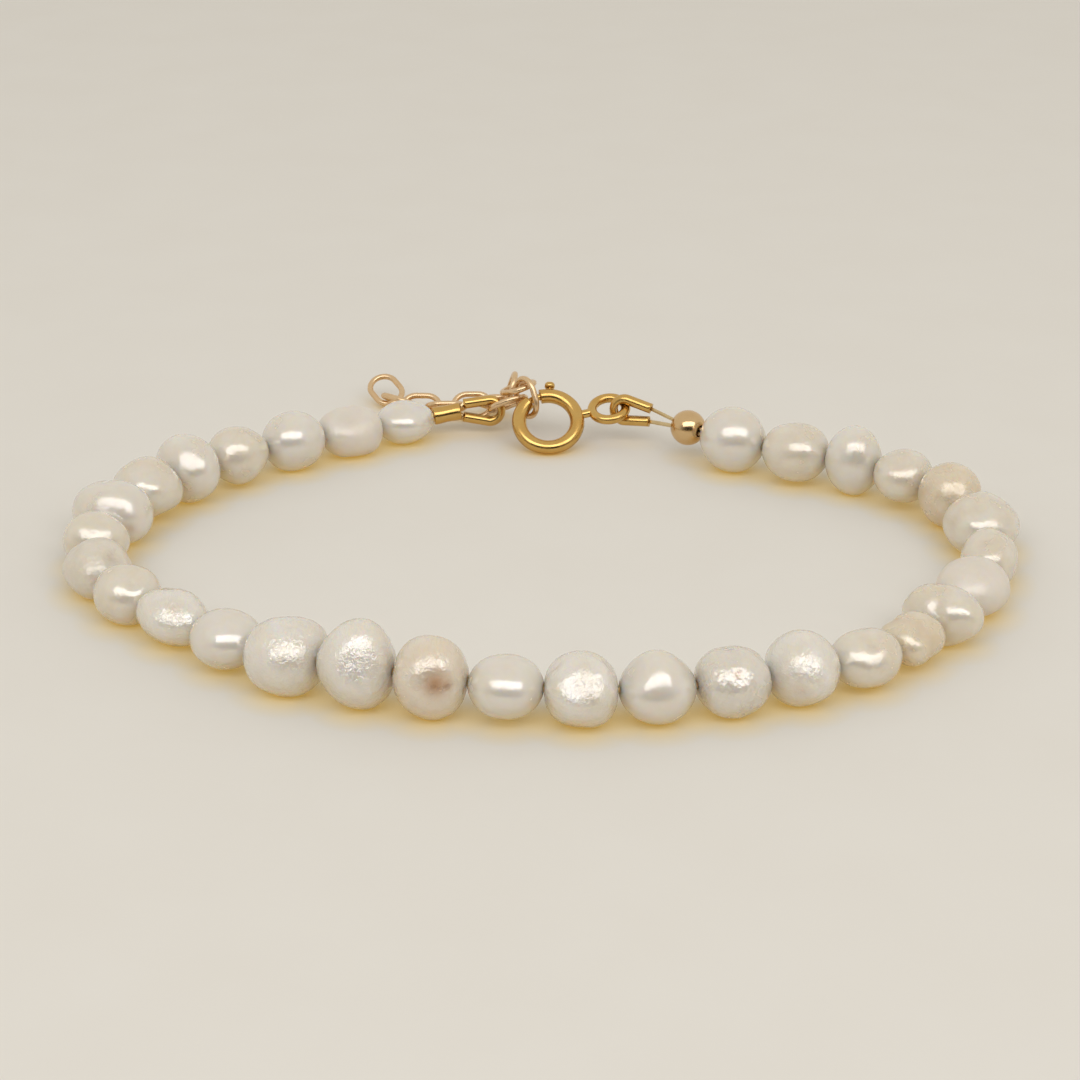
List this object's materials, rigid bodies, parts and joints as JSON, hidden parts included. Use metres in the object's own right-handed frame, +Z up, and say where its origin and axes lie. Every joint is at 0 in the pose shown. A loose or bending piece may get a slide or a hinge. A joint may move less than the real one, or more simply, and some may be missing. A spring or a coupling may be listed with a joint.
{
  "type": "jewellery",
  "caption": "Baroque freshwater pearl bracelet strung on wire, lying closed in a loose oval, with a gold spring ring clasp hooked into a short extender chain",
  "frame": {"origin": "on the table under the middle of the bracelet's box", "axes": "+X along the length of the oval, +Y to the clasp at the back, +Z up"},
  "size_m": [0.0724, 0.0616, 0.0064],
  "materials": {
    "nacre": "cream white nacre, satin to glossy with fine wrinkles and dimples",
    "gold": "polished yellow gold plate",
    "wire": "fine gold coloured stranded bead wire"
  },
  "bodies": {
    "bracelet": {"pearl_01": "nacre", "pearl_02": "nacre", "pearl_03": "nacre", "pearl_04": "nacre", "pearl_05": "nacre", "pearl_06": "nacre", "pearl_07": "nacre", "pearl_08": "nacre", "pearl_09": "nacre", "pearl_10": "nacre", "pearl_11": "nacre", "pearl_12": "nacre", "pearl_13": "nacre", "pearl_14": "nacre", "pearl_15": "nacre", "pearl_16": "nacre", "pearl_17": "nacre", "pearl_18": "nacre", "pearl_19": "nacre", "pearl_20": "nacre", "pearl_21": "nacre", "pearl_22": "nacre", "pearl_23": "nacre", "pearl_24": "nacre", "pearl_25": "nacre", "pearl_26": "nacre", "pearl_27": "nacre", "pearl_28": "nacre", "pearl_29": "nacre", "pearl_30": "nacre", "pearl_31": "nacre", "bead_wire": "wire", "crimp_tube": "gold", "crimp_cover": "gold", "wire_guard_left": "gold", "wire_guard_right": "gold", "clasp_ring": "gold", "chain_link_1": "gold", "chain_link_2": "gold", "chain_link_3": "gold", "chain_link_4": "gold", "chain_link_5": "gold", "chain_link_6": "gold", "chain_link_7": "gold", "chain_link_8": "gold", "chain_link_9": "gold", "chain_link_10": "gold"},
    "trigger": {"clasp_trigger": "gold"}
  },
  "joints": [
    {"name": "trigger_slide_round", "type": "hinge", "parent": "bracelet", "child": "trigger", "pos_m": [0.0004, 0.01977, 0.00216], "axis": [-0.0134, 0.6427, -0.766], "range_deg": [0, 30], "stiffness_Nm_per_rad": 0.006, "springref_deg": -11.46}
  ]
}
